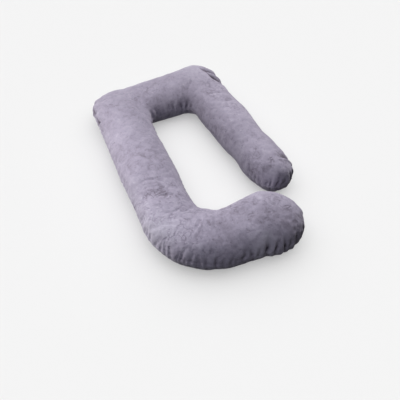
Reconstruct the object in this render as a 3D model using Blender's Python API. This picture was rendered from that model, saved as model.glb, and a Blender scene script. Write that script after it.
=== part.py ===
"""G-shaped body pillow: one cushion, filled all through, that bends round a long space to lie in.

Metres, +Z up. The head section is at +Y, the long leg at -X, the short leg at +X, and the broad lobe ends
the foot section. The pillow lies flat on its underside, centred on its footprint.
"""

from collections import namedtuple

import bpy
import numpy as np

NAME = "body_pillow"

# Driving dimensions.
SEAM_HEIGHT = 0.085  # the seam between the top and the underside panel, above the floor
LEG_TOP = 0.186  # crown of the short leg
BODY_TOP = 0.192  # crown of the head section and the long leg
LOBE_TOP = 0.214  # crown of the lobe, which is the fullest part
SIDE_POWER = 0.92  # under 1 makes the sides a little fuller than an ellipse
FLAT_REACH = 1.2  # how far the underside is pressed flat: 1 touches along a line only

# Plan of the pillow before it is centred: x from the long leg's side, y from the foot.
# A bend is where the straight runs of the outer and of the inner edge would cross, and the radii that round
# them; the gathers sewn in on its outer edge, the tucks where the cover is crowded on its inner edge, and
# the gathers along the straight run after it. The bends go from the short leg to the foot.
Bend = namedtuple(
    "Bend", "outer_x outer_y outer_radius inner_x inner_y inner_radius gathers tucks run_gathers"
)
BENDS = (
    Bend(0.776, 1.330, 0.110, 0.550, 1.060, 0.060, 4, 2, 0),
    Bend(0.035, 1.322, 0.120, 0.300, 1.060, 0.060, 4, 2, 0),
    Bend(-0.025, 0.015, 0.350, 0.262, 0.300, 0.090, 9, 3, 3),
)
# A closed end is where its outer and its inner edge start to round, how far it reaches past them, the power
# of its outline (2 is an ellipse, more is squarer), and the gathers on each half of it.
End = namedtuple("End", "outer_x outer_y inner_x inner_y reach power gathers")
SHORT_LEG_END = End(0.824, 0.490, 0.603, 0.470, 0.158, 2.25, 4)
LOBE_END = End(0.468, -0.007, 0.553, 0.302, 0.190, 2.27, 5)
END_TAPER = 0.7  # an end thins out as its width to this power
# Distances from an end's tip: the crown has the end's height up to the first, the body's from the second.
LEG_FULL, LEG_STARTS = 0.35, 1.00
LOBE_FULL, LOBE_STARTS = 0.20, 0.55

# The filling lies a little uneven along the pillow, in gentle waves.
Wave = namedtuple("Wave", "length height phase")
FILLING_WAVES = (
    Wave(0.430, 0.0045, 0.6),
    Wave(0.236, 0.0025, 2.0),
)
WAVE_WIDTH = 0.5  # the waves in the half width, as a share of those in the height

# Soft hollows pressed into the top by use.
Hollow = namedtuple("Hollow", "x y radius depth")
HOLLOWS = (
    Hollow(0.225, 1.195, 0.120, 0.014),
    Hollow(0.690, 1.060, 0.085, 0.016),
    Hollow(0.100, 1.130, 0.080, 0.008),
    Hollow(0.150, 0.330, 0.120, 0.012),
    Hollow(0.420, 0.150, 0.100, 0.007),
)

# Seam and gathers.
SEAM_GROOVE = 0.003  # the stitching draws the cover in this far all along the seam
SEAM_REACH = np.radians(11.0)
GATHER_DEPTH = 0.013  # a gather's valley at the seam
TUCK_DEPTH = 0.010  # a tuck's valley on an inner bend
GATHER_REACH = np.radians(38.0)  # how far up and down the side a gather or a tuck runs
GATHER_SHARPNESS = 6  # higher is a narrower valley between broader puffs
GATHER_UNEVENNESS = 0.22  # how far a gather strays from an even spacing, as a share of that spacing

# Fineness of the surface.
RING_POINTS = 28
RING_CROWDING = 0.45  # draws a ring's points towards the seams
GATHER_STEPS = 5  # sections in each gather
STRAIGHT_STEP = 0.040

COVER_COLOUR = (0.376, 0.342, 0.418, 1.0)
COVER_ROUGHNESS = 0.88
COVER_SHEEN = 0.4


def clear_scene():
    for old in list(bpy.data.objects):
        bpy.data.objects.remove(old, do_unlink=True)


def velvet():
    """Short-pile velvet in grey lilac."""
    material = bpy.data.materials.new("velvet")
    material.use_nodes = True
    shader = material.node_tree.nodes["Principled BSDF"]
    shader.inputs["Base Color"].default_value = COVER_COLOUR
    shader.inputs["Roughness"].default_value = COVER_ROUGHNESS
    shader.inputs["Metallic"].default_value = 0.0
    shader.inputs["Sheen Weight"].default_value = COVER_SHEEN
    return material


def rounded(before, corner, after, radius, share):
    """Points of the arc that rounds a corner, at each share of its turn."""
    back = (before - corner) / np.linalg.norm(before - corner)
    ahead = (after - corner) / np.linalg.norm(after - corner)
    half_angle = np.arccos(back @ ahead) / 2
    middle = (back + ahead) / np.linalg.norm(back + ahead)
    centre = corner + middle * radius / np.sin(half_angle)
    start = corner + back * radius / np.tan(half_angle) - centre
    end = corner + ahead * radius / np.tan(half_angle) - centre
    turn = np.pi - 2 * half_angle
    share = share[:, None]
    return centre + (np.sin((1 - share) * turn) * start + np.sin(share * turn) * end) / np.sin(turn)


def even_shares(gathers):
    """Evenly spaced shares of a stretch, with a whole number of sections in each of its gathers."""
    return np.linspace(0, 1, gathers * GATHER_STEPS + 1)


def uneven(even, gathers):
    """The same shares moved a little to and fro, so that the gathers differ in width."""
    return even + GATHER_UNEVENNESS / gathers * np.sin(2 * np.pi * even)


def valleys(even, gathers):
    """1 at the bottom of each gather and 0 on the puffs between, unequal from one to the next."""
    strength = 0.75 + 0.25 * np.sin(2.4 * np.floor(even * gathers) + gathers)
    return strength * np.abs(np.sin(np.pi * even * gathers)) ** GATHER_SHARPNESS


def edges_of(row):
    """A row's points on the outer and on the inner edge."""
    return np.array((row.outer_x, row.outer_y)), np.array((row.inner_x, row.inner_y))


def closed_end(end, away):
    """Edge points of a closed end from its tip, with the valley strength of its gathers on both edges."""
    outer, inner = edges_of(end)
    half = (outer - inner) / 2
    axis = np.array((-half[1], half[0])) / np.linalg.norm(half)
    axis = axis * np.sign(axis @ away)
    even = even_shares(end.gathers)
    turn = uneven(even, end.gathers) * np.pi / 2
    width = np.sin(turn)[:, None] ** (2 / end.power)
    length = np.cos(turn)[:, None] ** (2 / end.power)
    middle = (outer + inner) / 2 + axis * end.reach * length
    gather = valleys(even, end.gathers)
    return middle + half * width, middle - half * width, gather, gather


def straight(start, end, gathers):
    """Edge points of a straight run after its start, with valley strengths."""
    if gathers:
        even = even_shares(gathers)
        share = uneven(even, gathers)
        gather = valleys(even, gathers)
    else:
        steps = int(np.ceil(np.linalg.norm(end[0] - start[0]) / STRAIGHT_STEP))
        share = np.linspace(0, 1, steps + 1)
        gather = np.zeros(steps + 1)
    outer = start[0] + (end[0] - start[0]) * share[1:, None]
    inner = start[1] + (end[1] - start[1]) * share[1:, None]
    return outer, inner, gather[1:], np.zeros(len(outer))


def turned(bend, outer_marks, inner_marks):
    """Edge points of a bend, with the valley strength of its gathers and of its tucks."""
    even = even_shares(bend.gathers)
    share = uneven(even, bend.gathers)
    outer = rounded(*outer_marks, bend.outer_radius, share)
    inner = rounded(*inner_marks, bend.inner_radius, share)
    tuck = valleys(even, bend.tucks) * TUCK_DEPTH / GATHER_DEPTH
    return outer, inner, valleys(even, bend.gathers), tuck


def plan():
    """Matching outer and inner edge points, and valley strengths, from the short leg's tip to the lobe's."""
    marks = [edges_of(row) for row in (SHORT_LEG_END, *BENDS, LOBE_END)]
    outer_marks, inner_marks = zip(*marks)
    stretches = [closed_end(SHORT_LEG_END, away=(0.0, -1.0))]
    run_gathers = 0
    for number, bend in enumerate(BENDS):
        arc = turned(bend, outer_marks[number:number + 3], inner_marks[number:number + 3])
        last = (stretches[-1][0][-1], stretches[-1][1][-1])
        stretches.append(straight(last, (arc[0][0], arc[1][0]), run_gathers))
        stretches.append(tuple(column[1:] for column in arc))
        run_gathers = bend.run_gathers
    last = (stretches[-1][0][-1], stretches[-1][1][-1])
    stretches.append(straight(last, marks[-1], run_gathers))
    lobe = closed_end(LOBE_END, away=(1.0, 0.0))
    stretches.append(tuple(column[-2::-1] for column in lobe))
    return tuple(np.concatenate(columns) for columns in zip(*stretches))


def end_thickness(end, half_width, from_tip):
    """The share of its full thickness that each section has: under 1 only inside the closed end."""
    outer, inner = edges_of(end)
    full = np.linalg.norm(outer - inner) / 2
    thinned = (half_width / full).clip(0, 1) ** END_TAPER
    return np.where(from_tip < end.reach, thinned, 1.0)


def crown_height(along):
    """The height of the top along the pillow, before the closed ends thin out."""
    leg = np.interp(along, (LEG_FULL, LEG_STARTS), (LEG_TOP - BODY_TOP, 0.0))
    lobe = np.interp(along[-1] - along, (LOBE_FULL, LOBE_STARTS), (LOBE_TOP - BODY_TOP, 0.0))
    return BODY_TOP + leg + lobe


def filling_waves(along):
    """How much higher or lower the filling lies at each distance along the pillow."""
    return sum(wave.height * np.sin(2 * np.pi * along / wave.length + wave.phase) for wave in FILLING_WAVES)


def fading(angle, reach):
    """1 at the seam and falling off smoothly with the angle from it."""
    return np.exp(-(angle / reach) ** 2)


def sections():
    """The surface points, one ring a section: outer seam, top, inner seam, underside."""
    outer, inner, outer_gather, inner_gather = plan()
    middle = (outer + inner) / 2
    half_width = np.linalg.norm(outer - inner, axis=1) / 2
    across = (outer - inner) / np.maximum(2 * half_width, 1e-9)[:, None]
    along = np.concatenate(([0.0], np.cumsum(np.linalg.norm(np.diff(middle, axis=0), axis=1))))
    thickness = end_thickness(SHORT_LEG_END, half_width, along)
    thickness = thickness * end_thickness(LOBE_END, half_width, along[-1] - along)
    waves = filling_waves(along) * thickness
    crown = crown_height(along) + waves

    # Angles round a ring, closer together at the two seams.
    even = np.linspace(0, 2 * np.pi, RING_POINTS, endpoint=False)
    angle = even - RING_CROWDING * np.sin(2 * even) / 2
    side, rise = np.cos(angle), np.sin(angle)
    wide = np.sign(side) * np.abs(side) ** SIDE_POWER
    from_outer = np.abs((angle + np.pi) % (2 * np.pi) - np.pi)
    from_inner = np.pi - from_outer

    # A crowned top, and an underside that is pressed flat across its middle.
    top = SEAM_HEIGHT + np.outer((crown - SEAM_HEIGHT) * thickness, rise.clip(0, 1) ** SIDE_POWER)
    under = SEAM_HEIGHT * (1 - np.outer(thickness, (-rise * FLAT_REACH).clip(0, 1) ** SIDE_POWER))
    height = np.where(rise >= 0, top, under)
    pressed = height <= 0

    # The seam and its gathers draw the side in, square to the section's outline.
    drawn_in = SEAM_GROOVE * (fading(from_outer, SEAM_REACH) + fading(from_inner, SEAM_REACH))
    drawn_in = drawn_in + GATHER_DEPTH * np.outer(outer_gather, fading(from_outer, GATHER_REACH))
    drawn_in = drawn_in + GATHER_DEPTH * np.outer(inner_gather, fading(from_inner, GATHER_REACH))
    drawn_in = drawn_in * (half_width / half_width.max())[:, None]

    offset = (half_width + WAVE_WIDTH * waves)[:, None] * wide - drawn_in * side
    place = middle[:, None, :] + across[:, None, :] * offset[:, :, None]
    height = height - drawn_in * rise
    for hollow in HOLLOWS:
        distance = np.hypot(place[:, :, 0] - hollow.x, place[:, :, 1] - hollow.y)
        height = height - hollow.depth * fading(distance, hollow.radius) * rise.clip(0, 1)
    height[pressed] = 0.0
    return np.concatenate((place, height[:, :, None]), axis=2)


def filled_body(name, rings):
    """A closed mesh lofted through the rings; the first and the last ring are each one point."""
    rows, points = rings.shape[:2]
    vertices = np.concatenate((rings[0, :1], rings[1:-1].reshape(-1, 3), rings[-1, :1]))
    last = len(vertices) - 1
    number = 1 + np.arange((rows - 2) * points).reshape(rows - 2, points)
    following = np.roll(number, -1, axis=1)
    walls = np.stack((number[:-1], number[1:], following[1:], following[:-1]), axis=2).reshape(-1, 4)
    start = np.stack((np.zeros(points, int), number[0], following[0]), axis=1)
    end = np.stack((np.full(points, last), following[-1], number[-1]), axis=1)
    mesh = bpy.data.meshes.new(name)
    mesh.from_pydata(vertices.tolist(), [], walls.tolist() + start.tolist() + end.tolist())
    mesh.validate()
    mesh.shade_smooth()
    return mesh


def main():
    clear_scene()
    collection = bpy.data.collections.new(NAME)
    bpy.context.scene.collection.children.link(collection)
    rings = sections()
    lowest = rings.reshape(-1, 3).min(axis=0)
    highest = rings.reshape(-1, 3).max(axis=0)
    rings[:, :, :2] -= (lowest[:2] + highest[:2]) / 2
    mesh = filled_body(NAME, rings)
    mesh.materials.append(velvet())
    collection.objects.link(bpy.data.objects.new(NAME, mesh))


main()
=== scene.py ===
from collections import namedtuple

import bpy
import numpy as np
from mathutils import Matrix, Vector


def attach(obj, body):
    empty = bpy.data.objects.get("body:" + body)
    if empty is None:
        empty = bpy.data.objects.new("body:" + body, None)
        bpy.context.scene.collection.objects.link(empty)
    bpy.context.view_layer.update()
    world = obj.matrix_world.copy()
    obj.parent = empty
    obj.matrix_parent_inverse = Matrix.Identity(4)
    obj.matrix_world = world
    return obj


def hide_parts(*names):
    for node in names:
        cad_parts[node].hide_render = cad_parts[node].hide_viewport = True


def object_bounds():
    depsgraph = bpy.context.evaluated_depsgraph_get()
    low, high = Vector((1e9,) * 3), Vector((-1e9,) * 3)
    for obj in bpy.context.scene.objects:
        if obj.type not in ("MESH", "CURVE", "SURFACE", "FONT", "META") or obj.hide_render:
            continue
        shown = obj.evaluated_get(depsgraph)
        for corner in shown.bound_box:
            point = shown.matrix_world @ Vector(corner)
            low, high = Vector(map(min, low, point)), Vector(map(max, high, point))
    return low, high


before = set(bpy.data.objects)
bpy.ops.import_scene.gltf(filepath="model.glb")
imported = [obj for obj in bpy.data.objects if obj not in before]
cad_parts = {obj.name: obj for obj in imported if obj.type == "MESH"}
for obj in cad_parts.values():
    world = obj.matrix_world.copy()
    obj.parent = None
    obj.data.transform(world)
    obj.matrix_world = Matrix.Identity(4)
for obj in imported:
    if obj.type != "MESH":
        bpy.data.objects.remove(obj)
cad_low, cad_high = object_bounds()


# ---- The two panels and the line where they are sewn together ----
# A maker cuts two mirror-image G shapes of short-pile velvet and sews them edge to edge, turned so that the
# seam allowance lies inside. Filled, the seam runs all round at about half the thickness.
Bend = namedtuple("Bend", "outer_x outer_y outer_radius inner_x inner_y inner_radius")
BENDS = (
    Bend(0.776, 1.330, 0.110, 0.550, 1.060, 0.060),  # short leg to head section
    Bend(0.035, 1.322, 0.120, 0.300, 1.060, 0.060),  # head section to long leg
    Bend(-0.031, 0.013, 0.350, 0.262, 0.300, 0.090),  # long leg to foot section
)
End = namedtuple("End", "outer_x outer_y inner_x inner_y reach power")
SHORT_LEG_END = End(0.824, 0.490, 0.603, 0.470, 0.158, 2.25)
LOBE_END = End(0.448, -0.005, 0.566, 0.309, 0.197, 2.15)
END_STEP, BEND_STEP, RUN_STEP = 0.00945, 0.0078, 0.0125  # rough spacing of the cross sections
SEAM_HEIGHT = 0.085


def edges_of(row):
    """A row's points on the outer and on the inner edge."""
    return np.array((row.outer_x, row.outer_y)), np.array((row.inner_x, row.inner_y))


def rounded(before, corner, after, radius, share):
    """Arc of a circle that touches both sides of a corner, at shares of its turn: the centre, plus the lines
    from there to the arc's start and end times the sines of the turn left and made, over the whole sine."""
    back = (before - corner) / np.linalg.norm(before - corner)
    ahead = (after - corner) / np.linalg.norm(after - corner)
    half_angle = np.arccos(back @ ahead) / 2
    turn = np.pi - 2 * half_angle
    middle = (back + ahead) / np.linalg.norm(back + ahead)
    centre = corner + middle * radius / np.sin(half_angle)
    start = corner + back * radius / np.tan(half_angle) - centre
    end = corner + ahead * radius / np.tan(half_angle) - centre
    made = share[:, None] * turn
    left = (1 - share[:, None]) * turn
    return centre + (np.sin(left) * start + np.sin(made) * end) / np.sin(turn)


def shares(length, step):
    """Even shares from 0 to 1 of a stretch of that length, at most a step apart."""
    return np.linspace(0, 1, int(np.ceil(length / step)) + 1)


def closed_end(end, away):
    """Both sides of a closed end that points away, from its tip: half a superellipse, with the width as the
    sine and the reach as the cosine of a quarter turn, both to the power 2 / power."""
    outer, inner = edges_of(end)
    half = (outer - inner) / 2
    axis = np.array((-half[1], half[0])) / np.linalg.norm(half)
    axis = axis * np.sign(axis @ away)
    turn = shares(np.linalg.norm(half) + end.reach, END_STEP)[:, None] * np.pi / 2
    middle = (outer + inner) / 2 + axis * end.reach * np.cos(turn) ** (2 / end.power)
    return middle + half * np.sin(turn) ** (2 / end.power), middle - half * np.sin(turn) ** (2 / end.power)


def straight(start, end):
    """Points along a straight run on both edges: its start, left out, plus even shares of the way."""
    share = shares(np.linalg.norm(end[0] - start[0]), RUN_STEP)[1:, None]
    return start[0] + (end[0] - start[0]) * share, start[1] + (end[1] - start[1]) * share


def panel_edges():
    """Matching points of the outer and of the inner edge, from the short leg's tip to the lobe's tip: closed
    ends, arcs at the bends, and straight runs between them."""
    marks = [edges_of(row) for row in (SHORT_LEG_END, *BENDS, LOBE_END)]
    outer_marks, inner_marks = zip(*marks)
    stretches = [closed_end(SHORT_LEG_END, away=(0.0, -1.0))]
    for number, bend in enumerate(BENDS):
        share = shares(bend.outer_radius * np.pi / 2, BEND_STEP)
        outer = rounded(*outer_marks[number:number + 3], bend.outer_radius, share)
        inner = rounded(*inner_marks[number:number + 3], bend.inner_radius, share)
        stretches.append(straight((stretches[-1][0][-1], stretches[-1][1][-1]), (outer[0], inner[0])))
        stretches.append((outer[1:], inner[1:]))
    stretches.append(straight((stretches[-1][0][-1], stretches[-1][1][-1]), marks[-1]))
    lobe = closed_end(LOBE_END, away=(1.0, 0.0))
    stretches.append(tuple(edge[-2::-1] for edge in lobe))
    return tuple(np.concatenate(edges) for edges in zip(*stretches))


# ---- The fibre filling ----
# Loose fibre fills the cover as one body: crowned on top, fullest in the lobe, pressed flat below where it
# rests, and a little uneven along its length with soft hollows where it is used most.
LEG_TOP, BODY_TOP, LOBE_TOP = 0.186, 0.192, 0.214
SIDE_POWER = 0.92  # under 1, so the sections are a little squarer than an oval
FLAT_REACH = 1.2  # over 1, so the underside is flat in the middle
END_TAPER = 0.7  # how the thickness follows the width inside a closed end
LEG_FULL, LEG_STARTS = 0.35, 1.00  # from the short leg's tip: its own height ends, the body's begins
LOBE_FULL, LOBE_STARTS = 0.20, 0.55  # the same from the lobe's tip
Wave = namedtuple("Wave", "length height phase")
FILLING_WAVES = (
    Wave(0.430, 0.0045, 0.6),
    Wave(0.236, 0.0025, 2.0),
)
WAVE_WIDTH = 0.5  # how much of a wave's height the sides follow
Hollow = namedtuple("Hollow", "x y radius depth")
HOLLOWS = (
    Hollow(0.225, 1.195, 0.120, 0.014),
    Hollow(0.690, 1.060, 0.085, 0.016),
    Hollow(0.100, 1.130, 0.080, 0.008),
    Hollow(0.150, 0.330, 0.120, 0.012),
    Hollow(0.420, 0.150, 0.100, 0.007),
)
RING_POINTS = 64
SUM_STEPS = 1000  # steps of the running sum that spaces them, from seam to seam
SEAM_CROWDING, CROWDED_ANGLE = 1.0, 0.45
UNDER_SPARING, SPARED_ANGLE = 0.6, 0.75
TINY = 1e-12  # keeps a length that is divided by from being nothing


def fading(distance, reach):
    """1 at no distance, falling off as a bell curve: e to the power of minus (distance / reach) squared."""
    return np.exp(-(distance / reach) ** 2)


def fading_round(plan, spot):
    """The same bell curve of each point's distance from a spot of the plan, over the spot's radius."""
    return fading(np.hypot(plan[:, :, 0] - spot.x, plan[:, :, 1] - spot.y), spot.radius)


def wrapped(value, loop):
    """A value moved by whole loops until it lies within half a loop of 0."""
    return (value + loop / 2) % loop - loop / 2


def ring_angles(points):
    """Angles round a cross section, from the outer seam over the top: close together near both seams and
    wide apart on the pressed underside. They are the inverse of the running sum of a density."""
    fine = np.linspace(0, 2 * np.pi, 2 * SUM_STEPS + 1)
    from_outer = np.abs(wrapped(fine, 2 * np.pi))
    density = 1 + SEAM_CROWDING * fading(from_outer, CROWDED_ANGLE)
    density = density + SEAM_CROWDING * fading(np.pi - from_outer, CROWDED_ANGLE)
    density = density * (1 - UNDER_SPARING * fading(fine - 1.5 * np.pi, SPARED_ANGLE))
    total = np.concatenate(([0.0], np.cumsum((density[1:] + density[:-1]) / 2)))
    upper, lower = total[:SUM_STEPS + 1], total[SUM_STEPS:] - total[SUM_STEPS]
    even = np.linspace(0, 1, points // 2 + 1)
    over = np.interp(even, upper / upper[-1], fine[:SUM_STEPS + 1])
    under = np.interp(even, lower / lower[-1], fine[SUM_STEPS:])
    return np.concatenate((over[:-1], under[:-1]))


def end_thickness(end, half_width, from_tip):
    """The share of the full thickness: inside a closed end, the share of the full width to the power of the
    end's taper, and 1 elsewhere."""
    outer, inner = edges_of(end)
    thinned = (2 * half_width / np.linalg.norm(outer - inner)).clip(0, 1) ** END_TAPER
    return np.where(from_tip < end.reach, thinned, 1.0)


def filling():
    """Cross sections as rounded ovals between the two edges: cosine across and sine upwards, both to the
    side power. Rows are sections, columns go round: outer seam, top, inner seam, underside."""
    outer, inner = panel_edges()
    middle = (outer + inner) / 2
    half_width = np.linalg.norm(outer - inner, axis=1) / 2
    across = (outer - inner) / np.maximum(2 * half_width, TINY)[:, None]
    along = np.concatenate(([0.0], np.cumsum(np.linalg.norm(np.diff(middle, axis=0), axis=1))))
    thickness = end_thickness(SHORT_LEG_END, half_width, along)
    thickness = thickness * end_thickness(LOBE_END, half_width, along[-1] - along)
    waves = sum(w.height * np.sin(2 * np.pi * along / w.length + w.phase) for w in FILLING_WAVES) * thickness
    leg = np.interp(along, (LEG_FULL, LEG_STARTS), (LEG_TOP - BODY_TOP, 0.0))
    lobe = np.interp(along[-1] - along, (LOBE_FULL, LOBE_STARTS), (LOBE_TOP - BODY_TOP, 0.0))
    crown = BODY_TOP + leg + lobe + waves

    angle = ring_angles(RING_POINTS)
    side, rise = np.cos(angle), np.sin(angle)
    wide = np.sign(side) * np.abs(side) ** SIDE_POWER
    top = SEAM_HEIGHT + np.outer((crown - SEAM_HEIGHT) * thickness, rise.clip(0, 1) ** SIDE_POWER)
    under = SEAM_HEIGHT * (1 - np.outer(thickness, (-rise * FLAT_REACH).clip(0, 1) ** SIDE_POWER))
    height = np.where(rise >= 0, top, under)
    pressed = height <= 0
    offset = (half_width + WAVE_WIDTH * waves)[:, None] * wide
    plan = middle[:, None, :] + across[:, None, :] * offset[:, :, None]
    for hollow in HOLLOWS:
        height = height - hollow.depth * fading_round(plan, hollow) * rise.clip(0, 1)
    height[pressed] = 0.0
    return np.concatenate((plan, height[:, :, None]), axis=2), pressed


def point_by_point(grid):
    """A grid's values in the order of its mesh's points: one for each tip and a ring for each section."""
    return np.concatenate((grid[0, :1], grid[1:-1].reshape(-1, *grid.shape[2:]), grid[-1, :1]))


def closed_mesh(name, grid):
    """A mesh of quads between neighbouring sections, closed at both tips, where a section is one point."""
    rows, points = grid.shape[:2]
    vertices = point_by_point(grid)
    number = 1 + np.arange((rows - 2) * points).reshape(rows - 2, points)
    following = np.roll(number, -1, axis=1)
    walls = np.stack((number[:-1], number[1:], following[1:], following[:-1]), axis=2).reshape(-1, 4)
    start = np.stack((np.zeros(points, int), number[0], following[0]), axis=1)
    end = np.stack((np.full(points, len(vertices) - 1), following[-1], number[-1]), axis=1)
    mesh = bpy.data.meshes.new(name)
    mesh.from_pydata(vertices.tolist(), [], walls.tolist() + start.tolist() + end.tolist())
    mesh.shade_smooth()
    return mesh


def normals_of(grid):
    """Unit vectors out of the surface: square to the differences of neighbouring points along and round it,
    and at each tip the mean of the next ring's."""
    along = np.gradient(grid, axis=0)
    around = np.roll(grid, -1, axis=1) - np.roll(grid, 1, axis=1)
    normal = np.cross(along, around)
    normal = normal / np.maximum(np.linalg.norm(normal, axis=2, keepdims=True), TINY)
    normal[0] = normal[1].mean(axis=0) / np.linalg.norm(normal[1].mean(axis=0))
    normal[-1] = normal[-2].mean(axis=0) / np.linalg.norm(normal[-2].mean(axis=0))
    return normal


filled, pressed = filling()
plan_low, plan_high = filled.reshape(-1, 3).min(axis=0), filled.reshape(-1, 3).max(axis=0)
shift = (np.array(cad_low) + np.array(cad_high)) / 2 - (plan_low + plan_high) / 2
shift[2] = 0.0
filled = filled + shift  # over the middle of the solid's box


# ---- Gathers, tucks and puckers along the seam ----
# The panels' edges are eased into the seam with small pleats wherever the outline curves, and pucker a
# little along the straight runs. Each pleat is a narrow fold that starts at the seam and fades out.
Gathering = namedtuple("Gathering", "start end pleats depth reach width ease drawn")
# Starts and ends are metres along the seam from the short leg's tip, out along the whole outer edge and back
# along the inner one. Ease is the cloth's spare share, and drawn is how far the sides are pulled in.
GATHERINGS = (
    Gathering(-0.235, 0.235, 16, 0.0080, 0.034, 0.0062, 0.11, 0.006),  # round the short leg's end
    Gathering(0.235, 0.740, 11, 0.0016, 0.022, 0.0080, 0.02, 0.003),
    Gathering(0.740, 1.130, 12, 0.0075, 0.030, 0.0065, 0.12, 0.006),  # head, above the short leg
    Gathering(1.130, 1.620, 12, 0.0016, 0.022, 0.0080, 0.02, 0.003),
    Gathering(1.620, 1.960, 11, 0.0075, 0.030, 0.0065, 0.12, 0.006),  # head, above the long leg
    Gathering(1.960, 2.620, 16, 0.0016, 0.024, 0.0080, 0.02, 0.003),
    Gathering(2.620, 3.250, 20, 0.0060, 0.034, 0.0070, 0.08, 0.006),  # foot bend
    Gathering(3.250, 3.960, 27, 0.0100, 0.036, 0.0066, 0.12, 0.003),  # round the lobe
    Gathering(3.960, 4.130, 4, 0.0020, 0.026, 0.0080, 0.04, 0.004),
    Gathering(4.130, 4.270, 5, 0.0070, 0.045, 0.0080, 0.08, 0.005),  # inside the foot bend
    Gathering(4.270, 4.870, 15, 0.0022, 0.030, 0.0080, 0.03, 0.003),
    Gathering(4.870, 4.990, 5, 0.0070, 0.045, 0.0080, 0.08, 0.005),  # inside the head, at the long leg
    Gathering(4.990, 5.100, 3, 0.0022, 0.026, 0.0080, 0.03, 0.003),
    Gathering(5.100, 5.220, 5, 0.0070, 0.045, 0.0080, 0.08, 0.005),  # inside the head, at the short leg
    Gathering(5.220, 5.722, 12, 0.0018, 0.026, 0.0080, 0.02, 0.003),
)
Pleat = namedtuple("Pleat", "place depth reach width lean")
DEEP_PLEATS = (
    Pleat(0.000, 0.010, 0.034, 0.0065, 0.10),
    Pleat(0.056, 0.011, 0.040, 0.0065, -0.15),
    Pleat(0.194, 0.009, 0.040, 0.0065, 0.20),
    Pleat(0.765, 0.010, 0.030, 0.0060, -0.10),
    Pleat(0.803, 0.009, 0.028, 0.0060, 0.15),
    Pleat(0.978, 0.011, 0.040, 0.0070, 0.20),
    Pleat(1.035, 0.011, 0.040, 0.0070, -0.20),
    Pleat(1.762, 0.015, 0.040, 0.0080, 0.10),
    Pleat(1.853, 0.014, 0.036, 0.0075, -0.10),
    Pleat(1.914, 0.014, 0.036, 0.0075, 0.20),
    Pleat(3.290, 0.013, 0.040, 0.0070, -0.20),
    Pleat(3.357, 0.016, 0.050, 0.0080, 0.10),
    Pleat(3.393, 0.013, 0.042, 0.0070, 0.25),
    Pleat(3.449, 0.016, 0.052, 0.0080, -0.10),
    Pleat(3.507, 0.015, 0.048, 0.0080, 0.20),
)
PLEAT_SEED = 41
SPACING_PLAY = 0.30  # how far a pleat strays from even spacing, as a share of it
LEAST_DEPTH, MOST_DEPTH = 0.45, 1.25  # shares of its gathering's own that a pleat may have
LEAST_REACH, MOST_REACH = 0.6, 1.3
LEAST_WIDTH, MOST_WIDTH = 0.7, 1.3
MOST_LEAN = 0.35
FOLD_POWER = 1.5  # under 2, so a pleat is steeper at its bottom than a bell curve
FOLD_WIDENS = 0.100  # distance from the seam at which a pleat is twice as wide
SEAM_PINCH, PINCH_REACH = 0.16, 0.010  # a pleat's depth right at the seam, as a share of its greatest
SWELLING, SWELLING_STARTS, SWELLING_ASIDE = 0.22, 0.014, 2.1  # beside a pleat, in depths, metres and widths
UNDER_SHARE = 0.45  # of their depth, which is left to pleats below the seam
SOFT_STEP = 0.030
DRAWN_SHARE = 0.45  # above the seam, the sides are drawn in by this share of what they are below
REACH_ABOVE, REACH_BELOW = 0.020, 0.030
SEAM_SWAY, SWAY_LENGTH, SWAY_DRIFT, SWAY_REACH = 0.0030, 0.290, 5.0, 0.050
FIRST_SHARE, LAST_SHARE = 0.80, 0.75  # of a pleat's depth, before the cover is puffed out and after
BLOCK_POINTS = 2500  # points looked up against the seam at a time


def pleats():
    """All pleats as rows: evenly spaced within each gathering, each moved, deepened and leant at random."""
    random = np.random.default_rng(PLEAT_SEED)
    rows = [np.array(DEEP_PLEATS)]
    for g in GATHERINGS:
        even = (np.arange(g.pleats) + 0.5) / g.pleats
        stray = random.uniform(-SPACING_PLAY, SPACING_PLAY, g.pleats) / g.pleats
        place = g.start + (g.end - g.start) * (even + stray)
        depth = g.depth * random.uniform(LEAST_DEPTH, MOST_DEPTH, g.pleats)
        reach = g.reach * random.uniform(LEAST_REACH, MOST_REACH, g.pleats)
        width = g.width * random.uniform(LEAST_WIDTH, MOST_WIDTH, g.pleats)
        lean = random.uniform(-MOST_LEAN, MOST_LEAN, g.pleats)
        rows.append(np.stack((place, depth, reach, width, lean), axis=1))
    return np.concatenate(rows)


def along_seam(grid):
    """For each point, its place along the seam, its distance from it and the seam's length: the nearest
    point of the seam's own line, moved by the point's share along the line's direction there."""
    half = grid.shape[1] // 2
    line = np.concatenate((grid[:, 0], grid[-2:0:-1, half]))
    ahead = np.roll(line, -1, axis=0) - line
    length = np.linalg.norm(ahead, axis=1)
    place = np.concatenate(([0.0], np.cumsum(length)[:-1]))
    tangent = ahead + np.roll(ahead, 1, axis=0)
    tangent = tangent / np.linalg.norm(tangent, axis=1, keepdims=True)
    flat = grid.reshape(-1, 3)
    nearest = np.concatenate([
        ((block[:, None, :] - line[None]) ** 2).sum(axis=2).argmin(axis=1)
        for block in np.array_split(flat, len(flat) // BLOCK_POINTS)
    ])
    away = flat - line[nearest]
    forward = (away * tangent[nearest]).sum(axis=1)
    distance = np.sqrt(((away ** 2).sum(axis=1) - forward ** 2).clip(0, None))
    shape = grid.shape[:2]
    return (place[nearest] + forward).reshape(shape), distance.reshape(shape), length.sum()


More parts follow.
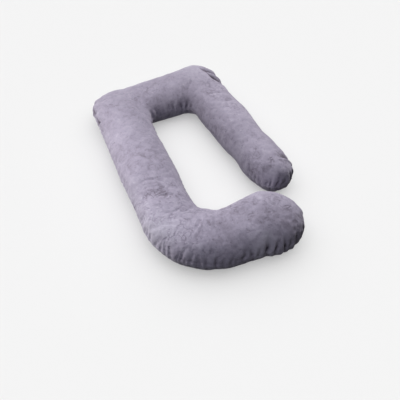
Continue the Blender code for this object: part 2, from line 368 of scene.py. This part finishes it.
def gathered(place, distance, loop):
    """How deep the pleats press the surface in: across each pleat a steep bell, with a low swelling on both
    sides, and away from the seam a quick rise and a slow fall."""
    depth = np.zeros_like(place)
    for at, deep, reach, width, lean in pleats():
        aside = wrapped(place - at - lean * distance, loop)
        wide = width * (1 + distance / FOLD_WIDENS)
        fold = np.exp(-np.abs(aside / wide) ** FOLD_POWER)
        swelling = SWELLING * (1 - fading(distance, SWELLING_STARTS))
        swelling = swelling * fading(np.abs(aside) - SWELLING_ASIDE * wide, wide)
        rise = SEAM_PINCH + (1 - SEAM_PINCH) * (1 - fading(distance, PINCH_REACH))
        depth = depth + deep * (fold - swelling) * rise * fading(distance, reach)
    return depth


def below_seam(grid):
    """Which columns of a surface lie below the seam."""
    return np.arange(grid.shape[1])[None, :] > grid.shape[1] // 2


def along_stretches(place, loop, amounts):
    """The amount of each stretch of the seam, with soft steps between them: the sum of each amount between a
    rising and a falling hyperbolic tangent."""
    total = np.zeros_like(place)
    for g, amount in zip(GATHERINGS, amounts):
        aside = wrapped(place - (g.start + g.end) / 2, loop)
        half = (g.end - g.start) / 2
        inside = np.tanh((aside + half) / SOFT_STEP) - np.tanh((aside - half) / SOFT_STEP)
        total = total + amount * inside / 2
    return total


def drawn_in(place, distance, loop, below):
    """How far the sides are pulled in next to the seam, more below it than above: the distance over its
    reach times e to the power of one less that, which is 1 at the reach."""
    amount = along_stretches(place, loop, [g.drawn for g in GATHERINGS])
    reach = np.where(below, REACH_BELOW, REACH_ABOVE)
    share = np.where(below, 1.0, DRAWN_SHARE)
    return amount * share * distance / reach * np.exp(1 - distance / reach)


place, distance, loop = along_seam(filled)
sway = SEAM_SWAY * np.sin(2 * np.pi * place / SWAY_LENGTH + np.sin(place * SWAY_DRIFT))
filled[:, :, 2] += sway * fading(distance, SWAY_REACH) * ~pressed
shallower = np.where(below_seam(filled), UNDER_SHARE, 1.0)
pressing = FIRST_SHARE * gathered(place, distance, loop) * shallower * ~pressed
surface = filled - pressing[:, :, None] * normals_of(filled)


# ---- The velvet cover, puffed out by its filling ----
# The cover is cut a little larger than the line it is sewn to, so air-like pressure from the filling rounds
# it between the seams and buckles the spare cloth near them.
PRESSURE = 10.0
FRAMES = 20
CLOTH_QUALITY = 5
CLOTH_MASS = 0.3
STRETCH_STIFFNESS, SHEAR_STIFFNESS, BENDING_STIFFNESS = 15, 5, 0.5
START_OUT = 0.001  # how far outside the filling the cover starts
MOST_EASE = 0.15
EASE_REACH = 0.036
EASE_LEVELS = 12
MOST_OUT, MOST_IN, MOST_ASIDE = 0.004, 0.014, 0.010  # caps on each point's move
FREE_REACH = 0.020  # nearer the seam than this, a point hardly moves aside
BROAD_PASSES = 24
BROAD_KEPT = 0.40  # the share of a broad bulge that stays


def cover_as_cloth(grid, held, ease):
    """The cover as cloth with pressure inside: the held points are pinned, and the cloth grows by its ease.
    A point's weight in the tight group is 1 less its share of the most ease, in even levels."""
    cover = bpy.data.objects.new("cover_before_filling", closed_mesh("cover_before_filling", grid))
    bpy.context.scene.collection.objects.link(cover)
    sewn = cover.vertex_groups.new(name="sewn")
    sewn.add(np.flatnonzero(point_by_point(held)).tolist(), 1.0, "REPLACE")
    tight = cover.vertex_groups.new(name="tight")
    tightness = np.round((1 - point_by_point(ease) / MOST_EASE) * EASE_LEVELS)
    for level in range(1, EASE_LEVELS + 1):
        tight.add(np.flatnonzero(tightness == level).tolist(), level / EASE_LEVELS, "REPLACE")
    cloth = cover.modifiers.new("filling", "CLOTH")
    cloth.collision_settings.use_collision = False
    cloth.collision_settings.use_self_collision = False
    settings = cloth.settings
    settings.quality = CLOTH_QUALITY
    settings.mass = CLOTH_MASS
    settings.tension_stiffness = STRETCH_STIFFNESS
    settings.compression_stiffness = STRETCH_STIFFNESS
    settings.shear_stiffness = SHEAR_STIFFNESS
    settings.bending_stiffness = BENDING_STIFFNESS
    settings.vertex_group_mass = "sewn"
    settings.vertex_group_shrink = "tight"
    settings.shrink_min = -MOST_EASE
    settings.shrink_max = 0.0
    settings.use_pressure = True
    settings.uniform_pressure_force = PRESSURE
    settings.effector_weights.gravity = 0.0
    return cover


def settled(cover, grid):
    """Runs the cloth through its frames, and gives its last shape as a grid like the one given."""
    scene = bpy.context.scene
    for number in range(1, FRAMES + 1):
        scene.frame_set(number)
    shape = cover.evaluated_get(bpy.context.evaluated_depsgraph_get()).data
    flat = np.empty(len(shape.vertices) * 3, np.float32)
    shape.vertices.foreach_get("co", flat)
    flat = flat.reshape(-1, 3).astype(float)
    scene.frame_set(1)
    bpy.data.objects.remove(cover)
    result = grid.copy()
    result[0], result[-1] = flat[0], flat[-1]
    result[1:-1] = flat[1:-1].reshape(result[1:-1].shape)
    return result


def broadened(values):
    """Values smoothed both ways by passes of (1, 2, 1) / 4 of themselves and their neighbours."""
    for _ in range(BROAD_PASSES):
        values = (np.roll(values, 1, axis=1) + 2 * values + np.roll(values, -1, axis=1)) / 4
        longer = np.concatenate((values[:1], values, values[-1:]))
        values = (longer[:-2] + 2 * values + longer[2:]) / 4
    return values


def puffed(grid, held, ease, distance):
    """The filled cover: each point's move in the cloth is split into out and aside, a share of its broad
    part is taken off the move out, and both are capped, out and in by hyperbolic tangents."""
    normal = normals_of(grid)
    cover = cover_as_cloth(grid + START_OUT * normal * ~held[:, :, None], held, ease)
    move = settled(cover, grid) - grid
    out = (move * normal).sum(axis=2, keepdims=True)
    aside = move - out * normal
    far = np.linalg.norm(aside, axis=2, keepdims=True)
    out = out - (1 - BROAD_KEPT) * broadened(out[:, :, 0])[:, :, None]
    out = np.where(out > 0, MOST_OUT * np.tanh(out / MOST_OUT), MOST_IN * np.tanh(out / MOST_IN))
    free = (1 - fading(distance, FREE_REACH))[:, :, None]
    return grid + out * normal + free * aside * np.minimum(1, MOST_ASIDE / np.maximum(far, TINY))


def subdivided(grid):
    """One step of cubic B-spline subdivision each way: old points move to (1, 6, 1) / 8 of themselves and
    their neighbours, new ones lie halfway. Past a tip, the grid goes on down the other side."""
    half = grid.shape[1] // 2
    before = np.roll(grid[1:2], half, axis=1)
    after = np.roll(grid[-2:-1], half, axis=1)
    longer = np.concatenate((before, grid, after))
    finer = np.empty((2 * len(grid) - 1, grid.shape[1], 3))
    finer[::2] = (longer[:-2] + 6 * longer[1:-1] + longer[2:]) / 8
    finer[1::2] = (grid[:-1] + grid[1:]) / 2
    finer[0] = finer[0].mean(axis=0)
    finer[-1] = finer[-1].mean(axis=0)
    result = np.empty((len(finer), 2 * grid.shape[1], 3))
    result[:, ::2] = (np.roll(finer, 1, axis=1) + 6 * finer + np.roll(finer, -1, axis=1)) / 8
    result[:, 1::2] = (finer + np.roll(finer, -1, axis=1)) / 2
    return result


held = pressed.copy()
held[:, 0] = held[:, RING_POINTS // 2] = True
ease = along_stretches(place, loop, [g.ease for g in GATHERINGS]) * fading(distance, EASE_REACH)
ease = ease * shallower * ~held
surface = puffed(surface, held, ease, distance)
surface = subdivided(surface)
smooth = subdivided(filled)  # the same surface without pleats, which the finer forms are measured on


# ---- Rumples in the filled cover ----
# The loose filling leaves soft lumps, and the thin velvet over it keeps small creases where it has been
# pressed and bent, most of all on the lower half of the long leg and on the lobe.
Lump = namedtuple("Lump", "wavelength height")
LUMPS = (
    Lump(0.140, 0.0013),
    Lump(0.062, 0.0005),
    Lump(0.030, 0.00028),
)
Rumple = namedtuple("Rumple", "wavelength sharpness depth")
RUMPLES = (
    Rumple(0.060, 0.16, 0.0011),
    Rumple(0.036, 0.20, 0.0009),
)
Rumpled = namedtuple("Rumpled", "x y radius share")
RUMPLED_PLACES = (
    Rumpled(0.090, 0.430, 0.120, 1.6),
    Rumpled(0.100, 0.250, 0.130, 1.0),
    Rumpled(0.420, 0.160, 0.110, 0.7),
    Rumpled(0.620, 0.110, 0.090, 0.8),
    Rumpled(0.190, 0.640, 0.060, 0.9),
    Rumpled(0.120, 1.150, 0.100, 0.6),
    Rumpled(0.680, 1.000, 0.110, 0.9),
    Rumpled(0.700, 0.420, 0.090, 0.8),
)
# A crease's two widths are on the left and on the right of the way that it runs.
Crease = namedtuple("Crease", "from_x from_y to_x to_y bow left_width right_width depth")
CREASES = (
    # corner of the head section, above the short leg
    Crease(0.688, 1.254, 0.792, 1.178, -0.005, 0.0060, 0.0190, 0.0180),
    Crease(0.706, 1.210, 0.796, 1.096, -0.006, 0.0065, 0.0220, 0.0190),
    # dent in the short leg's end
    Crease(0.755, 0.430, 0.835, 0.412, 0.003, 0.0350, 0.0080, 0.0150),
    # side of the head section, above the long leg
    Crease(0.033, 1.246, 0.025, 1.200, 0.002, 0.0055, 0.0055, 0.0170),
    Crease(0.024, 1.170, 0.023, 1.118, 0.002, 0.0055, 0.0055, 0.0180),
    Crease(0.019, 1.094, 0.022, 1.044, 0.002, 0.0055, 0.0055, 0.0170),
    # lobe
    Crease(0.545, 0.152, 0.600, 0.130, 0.006, 0.0055, 0.0055, 0.0035),
    Crease(0.515, 0.076, 0.592, 0.052, 0.008, 0.0060, 0.0060, 0.0035),
    Crease(0.474, 0.225, 0.446, 0.170, 0.005, 0.0055, 0.0055, 0.0035),
    Crease(0.436, 0.222, 0.424, 0.190, 0.003, 0.0050, 0.0050, 0.0025),
    # long leg
    Crease(0.050, 0.560, 0.175, 0.500, 0.018, 0.0070, 0.0070, 0.0035),
    Crease(0.060, 0.520, 0.120, 0.480, 0.010, 0.0060, 0.0060, 0.0030),
    Crease(0.100, 0.440, 0.190, 0.400, 0.012, 0.0060, 0.0060, 0.0035),
    Crease(0.040, 0.400, 0.110, 0.360, 0.010, 0.0060, 0.0060, 0.0030),
    Crease(0.090, 0.340, 0.170, 0.330, -0.010, 0.0060, 0.0060, 0.0030),
    Crease(0.050, 0.280, 0.120, 0.235, 0.010, 0.0060, 0.0060, 0.0030),
    Crease(0.258, 0.760, 0.205, 0.735, 0.004, 0.0055, 0.0055, 0.0035),
    Crease(0.256, 0.715, 0.200, 0.700, 0.004, 0.0055, 0.0055, 0.0035),
    Crease(0.240, 0.650, 0.190, 0.640, -0.004, 0.0055, 0.0055, 0.0030),
    Crease(0.235, 0.590, 0.185, 0.560, 0.004, 0.0055, 0.0055, 0.0030),
    # short leg
    Crease(0.640, 1.020, 0.740, 0.965, 0.012, 0.0080, 0.0080, 0.0045),
    Crease(0.650, 0.935, 0.735, 0.910, -0.008, 0.0070, 0.0070, 0.0035),
    # inner sides of the head section and of the foot bend
    Crease(0.300, 1.120, 0.270, 1.190, 0.010, 0.0070, 0.0070, 0.0030),
    Crease(0.560, 1.110, 0.600, 1.190, -0.010, 0.0070, 0.0070, 0.0035),
    Crease(0.230, 0.260, 0.170, 0.180, 0.012, 0.0070, 0.0070, 0.0035),
    Crease(0.290, 0.250, 0.260, 0.160, 0.010, 0.0070, 0.0070, 0.0035),
)
WAVES_IN_A_FIELD = 28
SHORTEST, LONGEST = 0.75, 1.35  # of a random field's waves, as shares of its wavelength
PATCH_SEED, LUMP_SEED, RUMPLE_SEED, BREAK_SEED = 7, 11, 21, 31
PATCH_SHARE, PATCH_LENGTH = 0.45, 0.210
BREAK_MIDDLE, BREAK_MOST, BREAK_LENGTH = 0.5, 1.5, 0.055  # what breaks the rumples' lines up
CREASE_LIP, LIP_WIDTH, LIP_ASIDE = 0.3, 0.010, 2.2  # beside a crease, lower where it is wider than this
CREASE_REACH = 0.85  # how soon a crease fades towards its ends, in half lengths
CRUSHED_LEAST, CRUSHED_MOST = 0.3, 1.6
CALM_SHARE, CALM_REACH = 0.7, 0.030  # how much weaker rumples are next to the seam
SEAM_GROOVE, GROOVE_WIDTH = 0.0022, 0.0045
SEAM_RIDGE, RIDGE_AWAY, RIDGE_WIDTH = 0.0010, 0.0100, 0.006
FLOOR_REACH = 0.012  # nearer the floor than this, the finer forms fade out


def ripples(points, wavelength, seed):
    """An even random field of about unit size: cosines of about one wavelength in random directions."""
    random = np.random.default_rng(seed)
    direction = random.normal(size=(WAVES_IN_A_FIELD, 3))
    direction = direction / np.linalg.norm(direction, axis=1, keepdims=True)
    turns = direction / (wavelength * random.uniform(SHORTEST, LONGEST, (WAVES_IN_A_FIELD, 1)))
    phase = random.uniform(0, 2 * np.pi, WAVES_IN_A_FIELD)
    return np.cos(2 * np.pi * points @ turns.T + phase).sum(axis=-1) * np.sqrt(2 / WAVES_IN_A_FIELD)


def creased(points, plan, crease):
    """How deep one crease presses the top in: a bell across a line that bows as a parabola, less a low bell
    on both sides, fading towards the line's ends."""
    start = np.array((crease.from_x, crease.from_y))
    end = np.array((crease.to_x, crease.to_y))
    length = np.linalg.norm(end - start)
    ahead = (end - start) / length
    forward = (plan - start) @ ahead / length
    aside = (plan - start) @ np.array((-ahead[1], ahead[0])) - crease.bow * 4 * forward * (1 - forward)
    width = np.where(aside > 0, crease.left_width, crease.right_width)
    lip = CREASE_LIP * np.minimum(1, LIP_WIDTH / width)
    trough = fading(aside, width) - lip * fading(np.abs(aside) - LIP_ASIDE * width, width)
    on_top = points[:, :, 2] > SEAM_HEIGHT
    return crease.depth * trough * fading(2 * forward - 1, CREASE_REACH) * on_top


def rumpled(points):
    """How deep rumples and creases press the surface in, and how crushed the pile is: sharp troughs along
    the zero lines of random fields, stronger in the rumpled places, and the creases."""
    plan = points[:, :, :2] - shift[:2]
    patches = PATCH_SHARE * (1 + ripples(points, PATCH_LENGTH, PATCH_SEED)).clip(0, 2)
    for spot in RUMPLED_PLACES:
        patches = patches + spot.share * fading_round(plan, spot)
    depth = np.zeros(points.shape[:2])
    for number, lump in enumerate(LUMPS):
        depth = depth + lump.height * ripples(points, lump.wavelength, LUMP_SEED + number)
    for number, rumple in enumerate(RUMPLES):
        field = ripples(points, rumple.wavelength, RUMPLE_SEED + number)
        broken = (BREAK_MIDDLE + ripples(points, BREAK_LENGTH, BREAK_SEED + number)).clip(0, BREAK_MOST)
        depth = depth + rumple.depth * patches * broken * np.exp(-np.abs(field) / rumple.sharpness)
    for crease in CREASES:
        depth = depth + creased(points, plan, crease)
    return depth, patches.clip(CRUSHED_LEAST, CRUSHED_MOST)


place, distance, loop = along_seam(smooth)
below = below_seam(smooth)
pressing = LAST_SHARE * gathered(place, distance, loop) * np.where(below, UNDER_SHARE, 1.0)
pressing = pressing + SEAM_GROOVE * fading(distance, GROOVE_WIDTH)
pressing = pressing - SEAM_RIDGE * fading(distance - RIDGE_AWAY, RIDGE_WIDTH)
rumples, crushed = rumpled(smooth)
pressing = pressing + rumples * (1 - CALM_SHARE * fading(distance, CALM_REACH))
lifted = 1 - fading(surface[:, :, 2], FLOOR_REACH)
change = (pressing + drawn_in(place, distance, loop, below)) * lifted
surface = surface - change[:, :, None] * normals_of(smooth)
surface[:, :, 2] = surface[:, :, 2].clip(0, None)


# ---- The short-pile velvet ----
# Polyester velvet of about 2 mm pile in grey lilac. Where the pile is crushed it lies over in patches and
# short creases. Painted shade darkens the creases and the deeper folds, and painted highlight and painted
# shade lighten and darken set places of the pile, partly the pile's own lie.
VELVET_DARK = (0.105, 0.088, 0.118, 1.0)
VELVET_COLOUR = (0.275, 0.249, 0.322, 1.0)
VELVET_LIGHT = (0.420, 0.395, 0.478, 1.0)
COLOUR_PLACE = 0.48  # where its own colour lies between dark and light
PILE_ROUGHNESS, PILE_GLOSS = 0.9, 0.2
PILE_SHEEN, SHEEN_SPREAD, SHEEN_TINT = 0.30, 0.45, (0.86, 0.82, 0.95, 1.0)
# Places where the pile is made lighter and darker to follow where light falls: painted highlight and painted
# shade, partly the pile's own lie.
PaintedLightPlace = namedtuple("PaintedLightPlace", "x y radius lighter")
PAINTED_LIGHT_PLACES = (
    PaintedLightPlace(0.020, 0.320, 0.085, 0.30),
    PaintedLightPlace(0.010, 0.450, 0.070, 0.14),
    PaintedLightPlace(0.060, 0.230, 0.060, 0.24),
    PaintedLightPlace(-0.010, 0.280, 0.050, 0.22),
    PaintedLightPlace(-0.010, 0.600, 0.065, 0.12),
    PaintedLightPlace(0.105, 0.455, 0.050, -0.14),
    PaintedLightPlace(0.440, 0.005, 0.060, 0.28),
    PaintedLightPlace(0.660, 1.225, 0.080, 0.16),
    PaintedLightPlace(0.300, 0.130, 0.090, -0.14),
    PaintedLightPlace(0.600, 0.075, 0.070, -0.16),
    PaintedLightPlace(0.470, 0.100, 0.050, -0.10),
    PaintedLightPlace(0.150, 0.650, 0.090, -0.12),
)
Pattern = namedtuple("Pattern", "scale detail distortion seed")
PATCHES = Pattern(6.0, 2.0, 0.5, 1.0)
MOTTLES = Pattern(32.0, 3.0, 1.0, 2.0)
FLECKS, FLECKS_START, FLECKS_FULL = Pattern(85.0, 2.0, 0.8, 7.0), 0.58, 0.72
SPECKS, SPECKS_START, SPECKS_FULL = Pattern(95.0, 2.0, 0.8, 8.0), 0.60, 0.74
Lines = namedtuple("Lines", "pattern spread breaks start full")
LONG_LINES = Lines(Pattern(21.0, 2.0, 1.0, 3.0), 0.100, Pattern(15.0, 2.0, 0.5, 4.0), 0.48, 0.62)
SHORT_LINES = Lines(Pattern(46.0, 2.0, 0.8, 5.0), 0.110, Pattern(30.0, 2.0, 0.5, 6.0), 0.50, 0.64)
PILE_TIPS = Pattern(1500.0, 1.0, 0.0, 9.0)
COMBED = Pattern(1.0, 3.0, 0.5, 10.0)
COMBED_ALONG, COMBED_AWAY = 70.0, 12.0  # its scales along the seam and away from it
COMBED_ENDS, COMBED_FULL = 0.090, 0.010  # distances from the seam
SHALLOWEST_SHADED_FOLD = 0.0030  # painted shade darkens a fold only where it is deeper than this
PATCH_TONE, MOTTLE_TONE, COMBED_TONE = 0.42, 0.62, 0.65
# The first of these darkens the crease lines: painted shade in the creases.
CREASE_SHADE_TONE, FLECK_TONE, SPECK_TONE = -0.16, -0.17, 0.18
FOLD_SHADE_TONE = -60.0  # painted shade in the folds, for each metre of depth
MOTTLE_RELIEF, CREASE_RELIEF, COMBED_RELIEF = 0.0020, -0.0010, 0.0022
SPECK_RELIEF, TIP_RELIEF = 0.00035, 0.00010


def pile_lie_and_painted_light(points):
    """Painted highlight and shade over set places, partly the pile's own lie: a bell over each place."""
    plan = points[:, :, :2] - shift[:2]
    return sum(spot.lighter * fading_round(plan, spot) for spot in PAINTED_LIGHT_PLACES)


def keep_values(mesh, name, grid):
    """Keeps a grid's values with the mesh's points under a name, for the velvet to read."""
    column = point_by_point(grid).astype(np.float32)
    mesh.attributes.new(name, "FLOAT", "POINT").data.foreach_set("value", column)


def velvet():
    """Tone = the sum of soft patches, sparse creases with painted shade, flecks, painted highlight and shade
    over set places and painted shade in the folds by their depth, read off a ramp from dark to light pile.
    Relief = the same creases and patches and the pile's tips, in metres."""
    material = bpy.data.materials.new("grey_lilac_velvet")
    material.use_nodes = True
    nodes, links = material.node_tree.nodes, material.node_tree.links
    shader = nodes["Principled BSDF"]
    shader.inputs["Roughness"].default_value = PILE_ROUGHNESS
    shader.inputs["Specular IOR Level"].default_value = PILE_GLOSS
    shader.inputs["Sheen Weight"].default_value = PILE_SHEEN
    shader.inputs["Sheen Roughness"].default_value = SHEEN_SPREAD
    shader.inputs["Sheen Tint"].default_value = SHEEN_TINT
    point = nodes.new("ShaderNodeTexCoord").outputs["Object"]

    def noise(pattern, vector=point):
        """A pattern's cloudy noise, from 0 to 1."""
        node = nodes.new("ShaderNodeTexNoise")
        node.noise_dimensions = "4D"
        node.inputs["W"].default_value = pattern.seed
        node.inputs["Scale"].default_value = pattern.scale
        node.inputs["Detail"].default_value = pattern.detail
        node.inputs["Distortion"].default_value = pattern.distortion
        links.new(vector, node.inputs["Vector"])
        return node.outputs["Fac"]

    def worked(operation, *values):
        """One step of arithmetic with numbers and with other nodes' values."""
        node = nodes.new("ShaderNodeMath")
        node.operation = operation
        for socket, value in zip(node.inputs, values):
            if isinstance(value, (int, float)):
                socket.default_value = value
            else:
                links.new(value, socket)
        return node.outputs["Value"]

    def risen(value, low, high):
        """A smooth step from 0 where the value is low to 1 where it is high."""
        node = nodes.new("ShaderNodeMapRange")
        node.interpolation_type = "SMOOTHSTEP"
        node.inputs["From Min"].default_value = low
        node.inputs["From Max"].default_value = high
        links.new(value, node.inputs["Value"])
        return node.outputs["Result"]

    def kept(name):
        """What the mesh keeps with its points under a name."""
        node = nodes.new("ShaderNodeAttribute")
        node.attribute_name = name
        return node.outputs["Fac"]

    def centred(value):
        """The value less a half."""
        return worked("SUBTRACT", value, 0.5)

    def lines(row):
        """Lines where one noise is close to a half, kept where a second noise, which breaks them, is high."""
        line = risen(worked("ABSOLUTE", centred(noise(row.pattern))), row.spread, 0.0)
        return worked("MULTIPLY", line, risen(noise(row.breaks), row.start, row.full))

    crushed = kept("crushed")
    mottles = centred(noise(MOTTLES))
    creases = worked("MULTIPLY", worked("MAXIMUM", lines(LONG_LINES), lines(SHORT_LINES)), crushed)
    flecks = risen(noise(FLECKS), FLECKS_START, FLECKS_FULL)
    specks = risen(noise(SPECKS), SPECKS_START, SPECKS_FULL)
    by_seam = nodes.new("ShaderNodeCombineXYZ")
    links.new(worked("MULTIPLY", kept("seam_place"), COMBED_ALONG), by_seam.inputs["X"])
    links.new(worked("MULTIPLY", kept("seam_distance"), COMBED_AWAY), by_seam.inputs["Y"])
    combed = centred(noise(COMBED, by_seam.outputs["Vector"]))
    combed = worked("MULTIPLY", combed, risen(kept("seam_distance"), COMBED_ENDS, COMBED_FULL))
    combed = worked("MULTIPLY", combed, crushed)
    # Painted shade in the folds: the deeper the fold, the darker the pile.
    painted_fold_shade = worked("MAXIMUM", worked("SUBTRACT", kept("fold_depth"), SHALLOWEST_SHADED_FOLD), 0.0)

    # The tone starts from the painted highlight and shade of the set places.
    tone = worked("MULTIPLY_ADD", centred(noise(PATCHES)), PATCH_TONE, worked("ADD", kept("pile_lie_and_painted_light"), 0.5))
    tone = worked("MULTIPLY_ADD", mottles, MOTTLE_TONE, tone)
    # Painted shade along the crease lines.
    tone = worked("MULTIPLY_ADD", creases, CREASE_SHADE_TONE, tone)
    tone = worked("MULTIPLY_ADD", flecks, FLECK_TONE, tone)
    tone = worked("MULTIPLY_ADD", specks, SPECK_TONE, tone)
    tone = worked("MULTIPLY_ADD", combed, COMBED_TONE, tone)
    # Painted shade in the folds.
    tone = worked("MULTIPLY_ADD", painted_fold_shade, FOLD_SHADE_TONE, tone)
    ramp = nodes.new("ShaderNodeValToRGB")
    ramp.color_ramp.elements[0].position = 0.0
    ramp.color_ramp.elements[0].color = VELVET_DARK
    ramp.color_ramp.elements[1].position = 1.0
    ramp.color_ramp.elements[1].color = VELVET_LIGHT
    ramp.color_ramp.elements.new(COLOUR_PLACE).color = VELVET_COLOUR
    links.new(tone, ramp.inputs["Fac"])
    links.new(ramp.outputs["Color"], shader.inputs["Base Color"])

    relief = worked("MULTIPLY_ADD", creases, CREASE_RELIEF, worked("MULTIPLY", mottles, MOTTLE_RELIEF))
    relief = worked("MULTIPLY_ADD", combed, COMBED_RELIEF, relief)
    relief = worked("MULTIPLY_ADD", worked("SUBTRACT", specks, flecks), SPECK_RELIEF, relief)
    relief = worked("MULTIPLY_ADD", noise(PILE_TIPS), TIP_RELIEF, relief)
    bump = nodes.new("ShaderNodeBump")
    bump.inputs["Strength"].default_value = 1.0
    bump.inputs["Distance"].default_value = 1.0
    links.new(relief, bump.inputs["Height"])
    links.new(bump.outputs["Normal"], shader.inputs["Normal"])
    return material


body = bpy.data.objects.new("velvet_pillow", closed_mesh("velvet_pillow", surface))
bpy.context.scene.collection.objects.link(body)
keep_values(body.data, "seam_place", place)
keep_values(body.data, "seam_distance", distance)
# depth of the folds, for the painted shade in them
keep_values(body.data, "fold_depth", change)
keep_values(body.data, "crushed", crushed)
# painted highlight and shade over set places, for the velvet
keep_values(body.data, "pile_lie_and_painted_light", pile_lie_and_painted_light(smooth))
body.data.materials.append(velvet())
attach(body, "root")
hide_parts("body_pillow")


# ---- The studio where it is shown ----
# A plain pale floor. Three soft lamps and a wide window behind light the pillow alone, and two wide suns
# light the floor alone, one of them with the pillow's soft shadow. The floor throws no light back.
FLOOR_HALF = 60.0
FLOOR_PALE = (0.80, 0.80, 0.80, 1.0)
floor_mesh = bpy.data.meshes.new("floor")
corners = np.array(((-1, -1, 0), (1, -1, 0), (1, 1, 0), (-1, 1, 0))) * FLOOR_HALF
floor_mesh.from_pydata(corners.tolist(), [], [(0, 1, 2, 3)])
floor = bpy.data.objects.new("floor", floor_mesh)
bpy.context.scene.collection.objects.link(floor)
floor.visible_diffuse = False
paint = bpy.data.materials.new("pale_floor")
paint.use_nodes = True
paint.node_tree.nodes["Principled BSDF"].inputs["Base Color"].default_value = FLOOR_PALE
paint.node_tree.nodes["Principled BSDF"].inputs["Roughness"].default_value = 1.0
paint.node_tree.nodes["Principled BSDF"].inputs["Specular IOR Level"].default_value = 0.0
floor_mesh.materials.append(paint)

HEADING = np.radians(25.0)
ELEVATION = np.radians(50.0)
AHEAD = np.array((np.sin(HEADING), np.cos(HEADING), 0.0))
LEFT = np.array((-np.cos(HEADING), np.sin(HEADING), 0.0))
UP = np.array((0.0, 0.0, 1.0))
TARGET = np.array((0.305, 0.410, 0.090)) + shift


def aimed(thing, spot):
    """Puts a light or the camera in the scene at a spot, turned so that it looks at the target."""
    thing.location = spot
    thing.rotation_euler = Vector(TARGET - spot).to_track_quat("-Z", "Y").to_euler()
    bpy.context.scene.collection.objects.link(thing)


def lights_only(light, thing):
    """Keeps a light to one object."""
    only = bpy.data.collections.new(light.name + "_lights_only")
    only.objects.link(thing)
    light.light_linking.receiver_collection = only


WARM_WHITE = (1.0, 0.985, 0.945)
COOL_WHITE = (0.90, 0.93, 1.0)
Lamp = namedtuple("Lamp", "name left ahead up size power colour")
LAMPS = (
    Lamp("left_lamp", 1.4, 0.1, 0.48, 0.8, 19.5, WARM_WHITE),
    Lamp("back_lamp", -0.9, 1.4, 1.0, 0.8, 15.0, WARM_WHITE),
    Lamp("front_lamp", 0.6, -1.2, 1.7, 1.2, 15.0, COOL_WHITE),
)
for lamp in LAMPS:
    light = bpy.data.objects.new(lamp.name, bpy.data.lights.new(lamp.name, "AREA"))
    light.data.size = lamp.size
    light.data.energy = lamp.power
    light.data.color = lamp.colour
    aimed(light, TARGET + lamp.left * LEFT + lamp.ahead * AHEAD + lamp.up * UP)
    lights_only(light, body)

Sun = namedtuple("Sun", "name left ahead up strength spread lit shadows")
SUNS = (
    Sun("window", -0.15, 0.65, 0.75, 2.50, 35.0, body, True),
    Sun("floor_wash", 0.0, 0.20, 1.0, 2.05, 90.0, floor, False),
    Sun("floor_shade", 0.0, 0.20, 1.0, 1.40, 120.0, floor, True),
)
for sun in SUNS:
    light = bpy.data.objects.new(sun.name, bpy.data.lights.new(sun.name, "SUN"))
    light.data.energy = sun.strength
    light.data.angle = np.radians(sun.spread)
    light.data.use_shadow = sun.shadows
    aimed(light, TARGET + sun.left * LEFT + sun.ahead * AHEAD + sun.up * UP)
    lights_only(light, sun.lit)

WHITE = (1.0, 1.0, 1.0, 1.0)
ROOM_LIGHT, BACKDROP = 0.06, 0.92  # how bright the surroundings are for the objects, and for the camera
world = bpy.data.worlds.new("studio")
world.use_nodes = True
nodes, links = world.node_tree.nodes, world.node_tree.links
room = nodes["Background"]
room.inputs["Color"].default_value = WHITE
room.inputs["Strength"].default_value = ROOM_LIGHT
backdrop = nodes.new("ShaderNodeBackground")
backdrop.inputs["Color"].default_value = WHITE
backdrop.inputs["Strength"].default_value = BACKDROP
mix = nodes.new("ShaderNodeMixShader")
links.new(nodes.new("ShaderNodeLightPath").outputs["Is Camera Ray"], mix.inputs["Fac"])
links.new(room.outputs["Background"], mix.inputs[1])
links.new(backdrop.outputs["Background"], mix.inputs[2])
links.new(mix.outputs["Shader"], nodes["World Output"].inputs["Surface"])
bpy.context.scene.world = world
bpy.context.scene.view_settings.view_transform = "Standard"

CAMERA_DISTANCE = 2.9
FOCAL_LENGTH, SENSOR_WIDTH = 53.5, 36.0
lens = bpy.data.cameras.new("camera")
lens.lens = FOCAL_LENGTH
lens.sensor_width = SENSOR_WIDTH
camera = bpy.data.objects.new("camera", lens)
back, rise = CAMERA_DISTANCE * np.cos(ELEVATION), CAMERA_DISTANCE * np.sin(ELEVATION)
aimed(camera, TARGET - AHEAD * back + UP * rise)
bpy.context.scene.camera = camera
